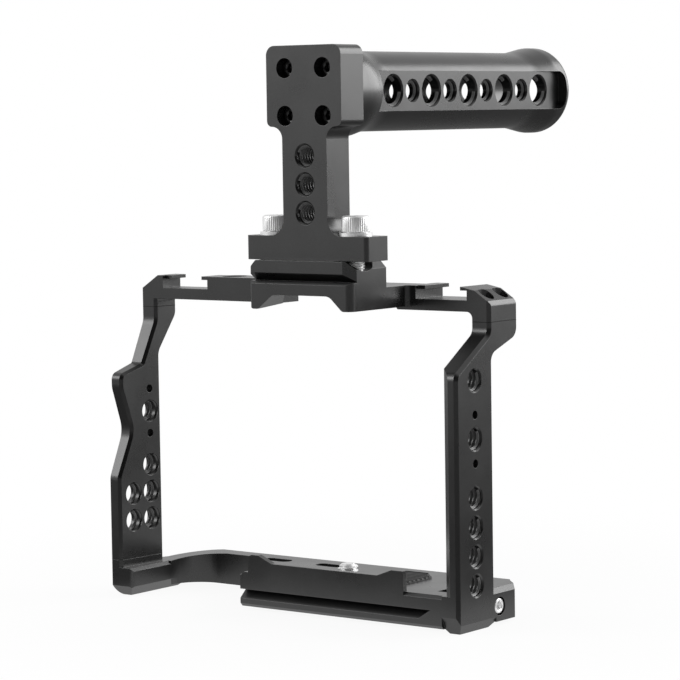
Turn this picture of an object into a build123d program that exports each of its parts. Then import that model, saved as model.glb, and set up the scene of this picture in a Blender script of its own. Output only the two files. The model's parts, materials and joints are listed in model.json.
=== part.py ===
from build123d import *
import os

# Camera cage with a top handle, in millimetres.
# X runs to the right as seen from the lens side, Y to the back, Z up, and the feet stand on Z = 0.
# The origin is the middle of the whole outline's width and depth, on the feet plane.

# ---------------------------------------------------------------- driving dimensions
# Whole cage
lens_offset = 86.44  # left outer face to the lens axis
leg_thick = 6.16

# Handle post: a square head, a stem and a flange
post_thick = 11.0
post_front_to_rail = 2.9  # the rail stands this far ahead of the post
head_width = 27.9
head_height = 24.1
head_top_r = 2.9
head_bottom_r = 1.8
head_neck_r = 3.7
stem_width = 16.6
stem_foot_r = 5.0
flange_width = 45.4
flange_thick = 7.3
flange_depth = 10.2
flange_corner = 1.3
post_height = 63.9  # flange underside to the top of the head
handle_drop = 13.8  # top of the head to the tube's axis
post_hole_first = 14.14  # above the flange underside
post_hole_pitch = 8.5
post_hole_count = 3

# Handle tube
handle_length = 115.2
tube_r = 12.2
flare_r = 13.9
front_collar = 6.5  # straight length of the front flare
front_taper = 8.0
rear_collar = 6.7
rear_taper = 10.5
taper_blend_r = 25.0
rear_blend_r = 12.0
rim_r = 3.0
bore_r = 8.8
bore_shift = 1.8  # the bore lies left of the axis, so that the tapped wall is the thick one
bore_start = 13.0  # solid length at the front, which takes the screws
flat_inset = 10.55  # axis to the flat that carries the holes
flat_height = 12.2
flat_start = 11.4  # behind the tube's front end
flat_end_gap = 3.2  # ahead of the tube's rear end
flat_end_r = 2.5  # the cutter's round at the flat's rear corners
handle_hole_first = 19.92  # behind the tube's front end
handle_hole_last = 15.28  # ahead of the tube's rear end
handle_hole_count = 9

# Screws between post and tube
tube_screw_offset = 7.08
tube_screw_head_r = 2.75
tube_screw_head = 3.0
tube_screw_r = 1.5
tube_screw_length = 16.0
tube_screw_sink = 6.0
tube_screw_bore_r = 3.0
tube_screw_key = 2.5

# Screws between flange and rail
flange_screw_offset = 14.9
flange_screw_setback = 5.05
flange_screw_r = 2.45
flange_screw_length = 14.8
flange_screw_head_r = 4.25
flange_screw_head = 5.0
flange_screw_key = 4.0
washer_r = 5.0
washer_thick = 1.0
spot_face_r = 5.2

# Rail block in the middle of the top plate
rail_top = 109.5
rail_left = 19.5  # left of the lens axis
rail_right = 18.7
rail_depth = 17.7
rail_end_chamfer = 2.4
rail_corner_chamfer = 3.0
block_left_r = 1.1
block_right_r = 2.2
groove_top = 3.7  # below the rail top
groove_floor = 6.2
groove_depth = 3.4
groove_lip = 0.8
block_drop = 10.3  # rail top to the block's underside
block_foot = 4.4  # feet hang this far below the underside
left_foot_depth = 14.9
left_foot_width = 3.2
left_foot_slope = 5.6
left_foot_rise = 1.6  # its sole climbs this much towards the back
right_foot_width = 3.4
right_foot_slope = 4.8
foot_flat = 0.9
foot_round = 1.5
foot_hollow_r = 2.6
right_hollow_r = 3.5
scoop_r = 8.0
scoop_drop = 3.0
scoop_length = 7.0
scoop_setback = 7.4

# Top bar, corners and shoes
top_setback = 24.97  # bar front behind the post front
bar_depth = 8.73
bar_drop_left = 7.5  # rail top to the left bar's top
bar_drop_right = 8.3
bar_thick_left = 7.5
bar_thick_right = 7.4
bar_step = 29.4  # left of the lens axis, where the deep part of the bar ends
bar_boss_gap = 1.05  # left shoe's groove to the boss
bar_boss_r = 5.6
bar_boss_sink_r = 4.2
shoe_groove = 18.6
shoe_lip = 2.35
shoe_lip_thick = 1.1
shoe_height = 4.0  # lip top above the groove floor
shoe_relief = 1.6
left_shoe_offset = 17.89  # left outer face to the groove's middle
shoe_gap = 1.0  # middle block to the right shoe's lip
right_corner = 8.06  # right shoe's groove to the right outer face
left_corner_drop = 4.2
left_corner_run = 6.5
right_corner_flat = 5.4  # from the right outer face to where the top slope starts
right_corner_drop = 1.0
right_slope_end = 4.0
right_slope_run = 0.8
right_side_drop = 5.1
corner_r = 1.6
left_corner_r = 1.0
right_corner_r = 2.0

# Seams of the legs
left_seam_drop = 2.6  # below the left bar's underside
right_seam_drop = 2.82
base_seam_rise = 0.2  # above the floor

# Floor, arm and rear bar
base_setback = 7.43  # floor front behind the post front
base_rise = 1.3
base_thick = 10.0
base_depth = 36.17
arm_width = 8.24
arm_drop = 2.2  # floor to the arm's top
rear_bar_depth = 6.3
arm_inner_r = 10.6
arm_outer_r = 16.0
arm_corner_r = 1.5
arm_edge = 1.0
arm_ramp = 18.0  # the arm's top climbs to the floor over this length
arm_sole_r = 2.5
plate_left = 33.6  # left of the lens axis
plate_side = 5.0
plate_blend = 19.4
plate_blend_r = 5.0
lug_chamfer = 6.6
lug_top_chamfer = 1.5
plate_edge_chamfer = 1.0
foot_drop = 3.2
foot_run = 2.8
arm_foot_length = 28.5
rear_land_width = 48.0
rear_land_depth = 4.6

# Front rebate wall
wall_thick = 1.9
wall_left = 30.4
wall_right = 28.65
wall_height = 4.2
wall_horn = 6.4
wall_horn_right = 6.2
wall_foot = 5.0  # the wall starts this far above the floor's underside
wall_ear = 1.5  # the floor's end rises to the wall over this length
wall_ear_low = 0.4
wall_ear_high = 0.9
wall_horn_run = 1.6
wall_horn_round = 0.6
wall_left_flat = 2.4
wall_left_slope = 5.2
wall_right_flat = 4.25
wall_right_slope = 5.3

# Dovetail lip under the floor's front edge
dovetail_high = 5.5  # groove's top above the floor's underside
dovetail_low = 2.6  # the lip's front edge above the floor's underside
dovetail_depth = 2.6
dovetail_web = 0.6
dovetail_right = 38.5
dovetail_slant = 4.5
lip_round = 1.0

# Right leg
column_depth = 18.17
neck_drop = 3.4
neck_fall = 11.1
neck_r = 3.0
shoulder_depth = 14.23
shoulder_drop = 4.65
shoulder_fall = 4.8
shoulder_r = 3.5
leg_outer_chamfer = 1.0
leg_inner_run = 3.1
leg_inner_depth = 2.7
column_foot_front = 5.0
column_foot_front_run = 2.4
column_foot_side = 2.8
column_foot_side_run = 1.3
column_foot_length = 17.1
column_foot_tail = 2.5

# Left leg outline, as depth behind the floor front and drop below the upper seam
left_column_depth = 18.3
left_front_thick = 3.9  # the leg thins towards its front
left_neck_drop = 4.7
left_throat_depth = 11.3
left_throat_drop = 18.0
nose_depth = 1.6
nose_top_drop = 20.9
nose_bottom_drop = 25.1
waist_depth = 6.4
waist_drop = 39.3
waist_r = 9.0
belly_drop = 53.7
belly_r = 5.0
left_shoulder_drop = 2.9
left_hip_drop = 14.6
left_inner_chamfer = 0.85

# Holes in the legs
leg_hole_pitches = 9.252  # hole pitches between the left leg's two seams
right_hole_rise = 2.3  # above the floor
right_hole_setback = 9.5
right_hole_steps = (0, 1, 2, 3, 5, 7)
left_hole_rise = 12.2  # above the lower seam
left_hole_setback = 14.0
left_hole_steps = (0, 1, 2, 4)
left_front_setback = 6.1
left_front_steps = (0, 1)
pin_hole_offset = 7.2
pin_hole_r = 1.3

# Holes cut with a tap: quarter-inch and three-eighths threads, at their major radius
quarter_r = 3.2
three_eighths_r = 4.7
mouth = 0.45  # countersink round each of them

# Screws and pins of the leg seams
seam_screw_r = 1.25
seam_screw_length = 6.5
seam_screw_head_r = 2.1
seam_screw_head = 2.4
seam_screw_key = 2.0
seam_screw_front = 3.9
seam_screw_pitch = 7.5
seam_screw_inset = 3.8  # from the right outer face
seam_screw_cover = 3.0  # solid left under the head
base_screw_length = 10.5
base_screw_first = 7.0  # behind the floor front
base_screw_inset = 2.5  # from the left outer face
left_top_screw_first = 2.9  # behind the top bar front
left_top_dowel = 3.6  # behind that screw
dowel_r = 1.0
dowel_length = 8.0

# Lug screw
lug_screw_setback = 21.57
lug_screw_height = 4.54  # above the floor's underside
lug_screw_head_r = 2.4
lug_screw_head = 2.4
lug_screw_bore_r = 2.8
lug_screw_sink = 2.6
lug_screw_r = 1.5
lug_screw_length = 9.0
lug_screw_key = 2.5

# Camera screw
camera_screw_setback = 11.07
stud_r = 3.175
stud_height = 4.7  # above the floor
camera_head_r = 7.0
camera_head = 3.0
camera_head_pocket = 4.1
coin_slot_width = 1.6
coin_slot_depth = 1.5
clip_groove_r = 2.6
clip_r = 5.0
clip_thick = 0.8
clip_pocket = 1.1
clip_gap = 2.6

# Slots in the floor for a strap
strap_slot_length = 10.4
strap_slot_width = 4.6
strap_slot_offsets = (-41.0, -20.0)
strap_slot_setback = 28.3

# Rubber pad
pad_left = 7.0
pad_right = 21.5
pad_setback = 8.6
pad_depth = 20.0
pad_corner = 3.6
pad_base = 1.0
pad_sink = 0.8
pad_rib_pitch = 2.2
pad_rib_width = 1.3
pad_rib_height = 0.6

# Fits
turn_clearance = 0.07  # round a screw that turns
still_clearance = 0.05  # round a screw or pin that stays
head_clearance = 0.3

# ---------------------------------------------------------------- places worked out from them
cage_width = lens_offset + rail_right + shoe_gap + shoe_lip + shoe_groove + right_corner
left_x = -cage_width / 2
right_x = cage_width / 2
lens_x = left_x + lens_offset
left_inner = left_x + leg_thick
right_inner = right_x - leg_thick
arm_inner = left_x + arm_width
rail_l = lens_x - rail_left
rail_r = lens_x + rail_right
left_shoe_x = left_x + left_shoe_offset
right_shoe_x = rail_r + shoe_gap + shoe_lip + shoe_groove / 2
boss_x = left_shoe_x + shoe_groove / 2 + bar_boss_gap + bar_boss_r

total_depth = post_front_to_rail + post_thick + handle_length
rail_front = -total_depth / 2
rail_back = rail_front + rail_depth
post_front = rail_front + post_front_to_rail
post_back = post_front + post_thick
tube_end = post_back + handle_length
top_front = post_front + top_setback
top_back = top_front + bar_depth
base_front = post_front + base_setback
base_back = base_front + base_depth
bar_front = base_back - rear_bar_depth
column_back = base_front + column_depth
camera_screw_y = base_front + camera_screw_setback

base_top = base_rise + base_thick
base_seam = base_top + base_seam_rise
arm_top = base_top - arm_drop
wall_top = base_top + wall_height
dovetail_top = base_rise + dovetail_high
dovetail_lip = base_rise + dovetail_low
bar_top_left = rail_top - bar_drop_left
bar_top_right = rail_top - bar_drop_right
bar_under_left = bar_top_left - bar_thick_left
bar_under_right = bar_top_right - bar_thick_right
left_shoe_floor = bar_top_left - shoe_height
right_shoe_floor = bar_top_right - shoe_height
left_seam = bar_under_left - left_seam_drop
right_seam = bar_under_right - right_seam_drop
block_under = rail_top - block_drop
foot_z = block_under - block_foot
stem_bottom = rail_top + flange_thick
post_top = rail_top + post_height
head_bottom = post_top - head_height
handle_z = post_top - handle_drop

leg_hole_pitch = (left_seam - base_seam) / leg_hole_pitches
right_hole_first = base_top + right_hole_rise
left_hole_first = base_seam + left_hole_rise
handle_hole_pitch = (handle_length - handle_hole_first - handle_hole_last) / (handle_hole_count - 1)
handle_holes = [post_back + handle_hole_first + k * handle_hole_pitch for k in range(handle_hole_count)]
post_holes = [rail_top + post_hole_first + k * post_hole_pitch for k in range(post_hole_count)]

right_screw_x = right_x - seam_screw_inset
right_screw_ys = (top_front + seam_screw_front, top_front + seam_screw_front + seam_screw_pitch)
left_top_screw_x = left_x + leg_thick / 2
left_top_screw_y = top_front + left_top_screw_first
left_top_dowel_y = left_top_screw_y + left_top_dowel
base_screw_x = left_x + base_screw_inset
base_screw_ys = (base_front + base_screw_first, base_front + base_screw_first + seam_screw_pitch)

os.makedirs("parts", exist_ok=True)


def facing(y):
    """Plane across the cage at depth y: local x is X, local y is Z."""
    return Plane.XZ.offset(-y)


def along(x):
    """Plane down the cage's side at x: local x is Y, local y is Z."""
    return Plane.YZ.offset(x)


def block(xs, ys, zs, mode=Mode.ADD):
    """A box between two X, two Y and two Z values, in the open part."""
    with Locations(((xs[0] + xs[1]) / 2, (ys[0] + ys[1]) / 2, (zs[0] + zs[1]) / 2)):
        Box(xs[1] - xs[0], ys[1] - ys[0], zs[1] - zs[0], mode=mode)


def prism(plane, corners, length, mode=Mode.ADD):
    """A straight prism in the open part: a corner's third number is its rounding."""
    radii = [corner[2] if len(corner) == 3 else 0 for corner in corners]
    with BuildSketch(plane) as face:
        with BuildLine():
            if any(radii):
                FilletPolyline(*[corner[:2] for corner in corners], radius=radii, close=True)
            else:
                Polyline(*corners, close=True)
        make_face()
    extrude(face.sketch, amount=length, mode=mode)


def nook(plane, corner, inward, radius, length):
    """Cut that rounds an outer corner along a straight edge: inward points into the body."""
    with BuildSketch(plane) as face:
        with Locations(corner):
            Rectangle(2 * radius, 2 * radius)
        with Locations((corner[0] + inward[0] * radius, corner[1] + inward[1] * radius)):
            Circle(radius, mode=Mode.SUBTRACT)
    extrude(face.sketch, amount=length, mode=Mode.SUBTRACT)


def tapped(plane, places, radius, length):
    """Tapped holes through a wall that starts at the plane, with a countersink at both mouths."""
    far = Plane(origin=plane.origin - plane.z_dir * length, x_dir=plane.x_dir, z_dir=-plane.z_dir)
    with Locations(plane):
        with Locations(*places):
            CounterSinkHole(radius, radius + mouth, depth=length, counter_sink_angle=90)
    with Locations(far):
        with Locations(*[(x, -y) for x, y in places]):
            CounterSinkHole(radius, radius + mouth, depth=length, counter_sink_angle=90)


def cap_screw(seat, head_r, head, shank_r, shank_length, key, label):
    """Socket cap screw: its head stands on the seat plane and its shank runs below it."""
    with BuildPart() as screw:
        with BuildSketch(seat):
            Circle(head_r)
        extrude(amount=head)
        chamfer(screw.edges().filter_by(GeomType.CIRCLE).sort_by(Axis(seat.origin, seat.z_dir))[-1], 0.3)
        with BuildSketch(seat):
            Circle(shank_r)
        extrude(amount=-shank_length)
        with BuildSketch(seat.offset(head)):
            RegularPolygon(key / 2, 6, major_radius=False)
        extrude(amount=-head * 0.55, mode=Mode.SUBTRACT)
    screw.part.label = label
    export_step(screw.part, "parts/" + label + ".step")


def dowel(x, y, z, label):
    """Upright locating pin, half of it above the seam at z."""
    with BuildPart() as pin:
        with BuildSketch(Plane((x, y, z - dowel_length / 2))):
            Circle(dowel_r)
        extrude(amount=dowel_length)
    pin.part.label = label
    export_step(pin.part, "parts/" + label + ".step")


# ---------------------------------------------------------------- base frame
neck_low = right_seam - neck_drop - neck_fall
neck_high = right_seam - neck_drop
shoulder_y = top_front + shoulder_depth
shoulder_high = right_seam - shoulder_drop
right_hole_y = base_front + right_hole_setback
right_middle_hole = right_hole_first + leg_hole_pitch * right_hole_steps[-2]

left_taper = (leg_thick - left_front_thick) / (top_back - base_front)
left_neck_x = left_x + left_front_thick + left_taper * (top_front - base_front)
left_section = [
    (left_x, base_front),
    (left_x + left_front_thick - left_inner_chamfer, base_front),
    (left_x + left_front_thick + left_taper * left_inner_chamfer, base_front + left_inner_chamfer),
    (left_x + left_front_thick + left_taper * left_column_depth, base_front + left_column_depth),
    (left_x, base_front + left_column_depth),
]

with BuildPart() as base_frame:
    # Right leg: a bent plate, chamfered down both front edges
    prism(
        along(right_inner),
        [
            (base_front, base_rise),
            (base_front, neck_low, neck_r),
            (top_front, neck_high, neck_r),
            (top_front, right_seam),
            (shoulder_y, right_seam),
            (shoulder_y, shoulder_high, shoulder_r),
            (column_back, shoulder_high - shoulder_fall, shoulder_r),
            (column_back, base_rise),
        ],
        leg_thick,
    )
    outer_edges = base_frame.edges().filter_by(
        lambda e: abs(e.center().X - right_x) < 0.01 and e.center().Y < top_front + 0.2
    )
    chamfer(outer_edges.filter_by(lambda e: base_rise + 1 < e.center().Z < right_seam - 0.1), leg_outer_chamfer)
    prism(
        Plane.XY.offset(base_top),
        [
            (right_inner, base_front),
            (right_inner + leg_inner_run, base_front),
            (right_inner, base_front + leg_inner_depth),
        ],
        right_seam - base_top,
        Mode.SUBTRACT,
    )

    # Left arm and rear bar: an L in plan whose top climbs round the corner
    prism(
        Plane.XY.offset(base_rise),
        [
            (left_x, base_front),
            (arm_inner, base_front, arm_corner_r),
            (arm_inner, bar_front, arm_inner_r),
            (right_inner, bar_front),
            (right_inner, base_back),
            (left_x, base_back, arm_outer_r),
        ],
        base_thick,
    )
    diagonal = Plane(
        origin=(arm_inner, bar_front - arm_inner_r, arm_top),
        x_dir=(1, 1, 0),
        z_dir=(1, -1, 0),
    )
    climb = base_top - arm_top
    prism(
        diagonal.offset(-base_depth),
        [
            (-2 * base_depth, 0),
            (0, 0),
            (arm_ramp, climb),
            (arm_ramp, 2 * climb),
            (-2 * base_depth, 2 * climb),
        ],
        2 * base_depth,
        Mode.SUBTRACT,
    )
    prism(
        facing(base_front),
        [(arm_inner, arm_top), (arm_inner - arm_edge, arm_top), (arm_inner, arm_top - arm_edge)],
        base_front - bar_front + arm_inner_r,
        Mode.SUBTRACT,
    )

    # Stub that carries the left leg, with the leg's own section
    prism(Plane.XY.offset(base_rise), left_section, base_seam - base_rise)

    # Foot under the arm, sloped at its front, inside and back
    foot_back = base_front + arm_foot_length
    prism(
        along(left_x),
        [
            (base_front, foot_drop),
            (base_front + foot_run, 0),
            (foot_back - foot_run, 0),
            (foot_back, base_rise),
            (foot_back, foot_drop),
        ],
        arm_width,
    )
    prism(
        along(left_x),
        [(base_front, foot_drop), (base_front, 0), (base_front + foot_run, 0)],
        arm_width,
        Mode.SUBTRACT,
    )
    prism(
        facing(base_front),
        [(arm_inner, foot_drop), (arm_inner - foot_run, 0), (arm_inner, 0)],
        -arm_foot_length,
        Mode.SUBTRACT,
    )
    nook(Plane.XY, (arm_inner, base_front), (-1, 1), arm_corner_r, arm_top)
    nook(facing(base_front), (left_x, 0), (1, 1), arm_sole_r, arm_outer_r - base_depth)
    nook(Plane.XY, (left_x, base_back), (1, -1), arm_outer_r, foot_drop)

    # Floor plate
    prism(
        Plane.XY.offset(base_rise),
        [
            (lens_x - plate_left, base_front),
            (right_x, base_front),
            (right_x, base_back - lug_chamfer),
            (right_x - lug_chamfer, base_back),
            (lens_x - plate_left - plate_blend, base_back),
            (lens_x - plate_left - plate_blend, bar_front),
            (lens_x - plate_left, base_front + plate_side, plate_blend_r),
        ],
        base_thick,
    )
    block(
        (lens_x - rear_land_width / 2, lens_x + rear_land_width / 2),
        (base_back - rear_land_depth, base_back),
        (0, base_rise),
    )

    # Lug: its outer top edge is broken behind the leg
    prism(
        facing(column_back),
        [
            (right_x - lug_top_chamfer, base_top),
            (right_x, base_top),
            (right_x, base_top - lug_top_chamfer),
        ],
        column_back - base_back,
        Mode.SUBTRACT,
    )

    # Front wall with a horn at each end, and the ear under its left end
    wall_l = lens_x - wall_left
    wall_r = lens_x + wall_right
    left_horn_end = wall_l + wall_horn_run + wall_left_flat
    right_horn_end = wall_r - wall_right_flat
    prism(
        facing(base_front),
        [
            (lens_x - plate_left, base_rise + wall_foot),
            (lens_x - plate_left, base_top - wall_ear_low),
            (wall_l - wall_ear, base_top + wall_ear_high),
            (wall_l, base_top + wall_ear_high),
            (wall_l, base_top + wall_horn - wall_horn_round),
            (wall_l + wall_horn_run, base_top + wall_horn),
            (left_horn_end, base_top + wall_horn),
            (left_horn_end + wall_left_slope, wall_top),
            (right_horn_end - wall_right_slope, wall_top),
            (right_horn_end, base_top + wall_horn_right),
            (wall_r, base_top + wall_horn_right),
            (wall_r, base_rise + wall_foot),
        ],
        -wall_thick,
    )
    # Broken top edge of the floor to the right of the wall
    prism(
        along(wall_r),
        [
            (base_front, base_top),
            (base_front + plate_edge_chamfer, base_top),
            (base_front, base_top - plate_edge_chamfer),
        ],
        right_inner - wall_r,
        Mode.SUBTRACT,
    )

    # Dovetail groove along the front, ended by a slant on the right
    groove_inner = base_front + dovetail_depth
    with BuildSketch(along(lens_x - plate_left)) as groove_face:
        with BuildLine():
            Polyline(
                (base_front, dovetail_top),
                (groove_inner, dovetail_top),
                (groove_inner, dovetail_top - dovetail_web),
                (base_front, dovetail_lip),
                close=True,
            )
        make_face()
    groove_bar = extrude(
        groove_face.sketch,
        amount=plate_left + dovetail_right + dovetail_slant,
        mode=Mode.PRIVATE,
    )
    slant_plane = Plane(
        origin=(lens_x + dovetail_right, base_front, dovetail_top),
        x_dir=(0, 1, 0),
        z_dir=(dovetail_top - dovetail_lip, 0, -dovetail_slant),
    )
    add(split(groove_bar, bisect_by=slant_plane, keep=Keep.BOTTOM, mode=Mode.PRIVATE), mode=Mode.SUBTRACT)
    # Rounded underside of the lip
    prism(
        along(lens_x - plate_left),
        [
            (base_front, base_rise),
            (base_front + lip_round, base_rise),
            (base_front, base_rise + lip_round),
        ],
        right_inner - lens_x + plate_left,
        Mode.SUBTRACT,
    )

    # Foot under the right leg
    column_foot_back = base_front + column_foot_length
    prism(
        along(right_inner),
        [
            (base_front, base_rise),
            (base_front + column_foot_front_run, 0),
            (column_foot_back, 0),
            (column_foot_back + column_foot_tail, base_rise),
            (column_foot_back + column_foot_tail, column_foot_front),
            (base_front, column_foot_front),
        ],
        leg_thick,
    )
    prism(
        along(right_inner),
        [
            (base_front, column_foot_front),
            (base_front, 0),
            (base_front + column_foot_front_run, 0),
        ],
        leg_thick,
        Mode.SUBTRACT,
    )
    prism(
        facing(base_front),
        [
            (right_x, column_foot_side),
            (right_x, 0),
            (right_x - column_foot_side_run, 0),
        ],
        -column_foot_length - column_foot_tail,
        Mode.SUBTRACT,
    )
    prism(
        facing(base_front),
        [
            (right_inner, base_rise),
            (right_inner, 0),
            (right_inner + column_foot_side_run, 0),
        ],
        -column_foot_length - column_foot_tail,
        Mode.SUBTRACT,
    )

    # The leg's outer front chamfer goes on down past the floor's edge
    prism(
        Plane.XY,
        [
            (right_x, base_front),
            (right_x - leg_outer_chamfer, base_front),
            (right_x, base_front + leg_outer_chamfer),
        ],
        base_top,
        Mode.SUBTRACT,
    )

    # Tapped holes, pin holes and the lug screw's hole
    right_face = Plane(origin=(right_x, 0, 0), x_dir=(0, 1, 0), z_dir=(1, 0, 0))
    tapped(
        right_face,
        [(right_hole_y, right_hole_first + leg_hole_pitch * k) for k in right_hole_steps],
        quarter_r,
        leg_thick,
    )
    with Locations(right_face):
        with Locations(*[(right_hole_y, right_middle_hole + s * pin_hole_offset) for s in (-1, 1)]):
            Hole(pin_hole_r, depth=leg_thick)
        with Locations((base_front + lug_screw_setback, base_rise + lug_screw_height)):
            CounterBoreHole(
                lug_screw_r + still_clearance,
                lug_screw_bore_r,
                lug_screw_sink,
                depth=lug_screw_sink + lug_screw_length + head_clearance,
            )

    # Blind holes down into the leg's top
    with Locations(*[(right_screw_x, y, right_seam) for y in right_screw_ys]):
        Hole(seam_screw_r + still_clearance, depth=seam_screw_length - seam_screw_cover + head_clearance)
    with Locations((right_screw_x, sum(right_screw_ys) / 2, right_seam)):
        Hole(dowel_r + still_clearance, depth=dowel_length / 2 + still_clearance)

    # Screw and pin holes up through the arm into the left leg
    with Locations(Plane(origin=(0, 0, 0), x_dir=(1, 0, 0), z_dir=(0, 0, -1))):
        with Locations(*[(base_screw_x, -y) for y in base_screw_ys]):
            CounterBoreHole(
                seam_screw_r + still_clearance,
                seam_screw_head_r + head_clearance,
                base_seam - seam_screw_cover,
                depth=base_seam,
            )
    with Locations((base_screw_x, sum(base_screw_ys) / 2, base_seam)):
        Hole(dowel_r + still_clearance, depth=dowel_length / 2 + still_clearance)

    # Camera screw: a stepped hole, wide below for the head and above for the clip
    with Locations((lens_x, camera_screw_y, base_top)):
        CounterBoreHole(stud_r + turn_clearance, clip_r + head_clearance, clip_pocket, depth=base_thick)
    with Locations((lens_x, camera_screw_y, base_rise)):
        Cylinder(
            camera_head_r + head_clearance,
            camera_head_pocket,
            align=(Align.CENTER, Align.CENTER, Align.MIN),
            mode=Mode.SUBTRACT,
        )

    # Strap slots and the pocket for the rubber pad
    with BuildSketch(Plane.XY.offset(base_rise)):
        with Locations(*[(lens_x + x, base_front + strap_slot_setback) for x in strap_slot_offsets]):
            SlotOverall(strap_slot_length, strap_slot_width)
    extrude(amount=base_thick, mode=Mode.SUBTRACT)
    pad_outline = [
        (lens_x + pad_left, base_front + pad_setback),
        (lens_x + pad_right, base_front + pad_setback),
        (lens_x + pad_right, base_front + pad_setback + pad_depth - pad_corner),
        (lens_x + pad_right - pad_corner, base_front + pad_setback + pad_depth),
        (lens_x + pad_left, base_front + pad_setback + pad_depth),
    ]
    prism(Plane.XY.offset(base_top - pad_sink), pad_outline, pad_sink, Mode.SUBTRACT)
base_frame.part.label = "base_frame"
export_step(base_frame.part, "parts/base_frame.step")

# ---------------------------------------------------------------- left leg
left_hole_y = base_front + left_hole_setback
left_front_y = base_front + left_front_setback
left_middle_hole = left_hole_first + leg_hole_pitch * left_hole_steps[-1]

with BuildPart() as left_leg:
    with BuildSketch(along(left_x)) as left_side:
        with BuildLine() as left_line:
            front_edge = FilletPolyline(
                (top_front, left_seam),
                (top_front, left_seam - left_neck_drop),
                (base_front + left_throat_depth, left_seam - left_throat_drop),
                (base_front + nose_depth, left_seam - nose_top_drop),
                (base_front + nose_depth, left_seam - nose_bottom_drop),
                (base_front + waist_depth, left_seam - waist_drop),
                (base_front, left_seam - belly_drop),
                (base_front, base_seam),
                radius=[6.0, 1.0, 2.4, 6.0, waist_r, belly_r],
            )
            Line(front_edge @ 1, (base_front + left_column_depth, base_seam))
            back_edge = FilletPolyline(
                (base_front + left_column_depth, base_seam),
                (base_front + left_column_depth, left_seam - left_hip_drop),
                (top_back, left_seam - left_shoulder_drop),
                (top_back, left_seam),
                radius=[5.0, 4.0],
            )
            Line(back_edge @ 1, front_edge @ 0)
        make_face()
    extrude(amount=leg_thick)
    # The inner face leans back to the front edge, so the leg is thinnest there
    prism(
        Plane.XY.offset(base_seam),
        [
            (left_x + left_front_thick, base_front),
            (left_inner, base_front),
            (left_inner, top_back),
        ],
        left_seam - base_seam,
        Mode.SUBTRACT,
    )
    inner_rim = left_leg.edges().filter_by(
        lambda e: e.center().X > left_x + left_front_thick - 1
        and e.center().Y < base_front + left_throat_depth - 2
        and base_seam + 1 < e.center().Z < left_seam - left_throat_drop
    )
    chamfer(inner_rim, left_inner_chamfer)
    # Tapped holes, from the leaning face; the front ones sit where the leg is thinner
    for y, first, steps in (
        (left_hole_y, left_hole_first, left_hole_steps),
        (left_front_y, left_hole_first, left_front_steps),
    ):
        wall = left_front_thick + left_taper * (y - base_front)
        tapped(
            Plane(origin=(left_x + wall, 0, 0), x_dir=(0, 1, 0), z_dir=(1, 0, 0)),
            [(y, first + leg_hole_pitch * k) for k in steps],
            quarter_r,
            wall,
        )
    with Locations(Plane(origin=(left_inner, 0, 0), x_dir=(0, 1, 0), z_dir=(1, 0, 0))):
        with Locations(*[(left_hole_y, left_middle_hole + s * pin_hole_offset) for s in (-1, 1)]):
            Hole(pin_hole_r, depth=leg_thick)
    with Locations((left_top_screw_x, left_top_screw_y, left_seam)):
        Hole(seam_screw_r + still_clearance, depth=seam_screw_length - seam_screw_cover + head_clearance)
    with Locations((left_top_screw_x, left_top_dowel_y, left_seam)):
        Hole(dowel_r + still_clearance, depth=dowel_length / 2 + still_clearance)
    with Locations(Plane(origin=(0, 0, base_seam), x_dir=(1, 0, 0), z_dir=(0, 0, -1))):
        with Locations(*[(base_screw_x, -y) for y in base_screw_ys]):
            Hole(
                seam_screw_r + still_clearance,
                depth=base_screw_length - seam_screw_cover + head_clearance,
            )
        with Locations((base_screw_x, -sum(base_screw_ys) / 2)):
            Hole(dowel_r + still_clearance, depth=dowel_length / 2 + still_clearance)
left_leg.part.label = "left_leg"
export_step(left_leg.part, "parts/left_leg.step")

# ---------------------------------------------------------------- top plate
right_shoe_back = top_front + shoulder_depth
right_foot_end = right_foot_width + right_foot_slope
right_foot = [
    (rail_r - right_foot_width, foot_z, foot_round),
    (rail_r - right_foot_end, block_under, right_hollow_r),
]


def shoe_outline(middle, top):
    """The groove and its two overhanging lips, from left to right."""
    half = shoe_groove / 2
    under = top - shoe_lip_thick
    floor = top - shoe_height
    return [
        (middle - half + shoe_lip, top),
        (middle - half + shoe_lip, under),
        (middle - half, under),
        (middle - half, floor),
        (middle + half, floor),
        (middle + half, under),
        (middle + half - shoe_lip, under),
        (middle + half - shoe_lip, top),
    ]


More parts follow.
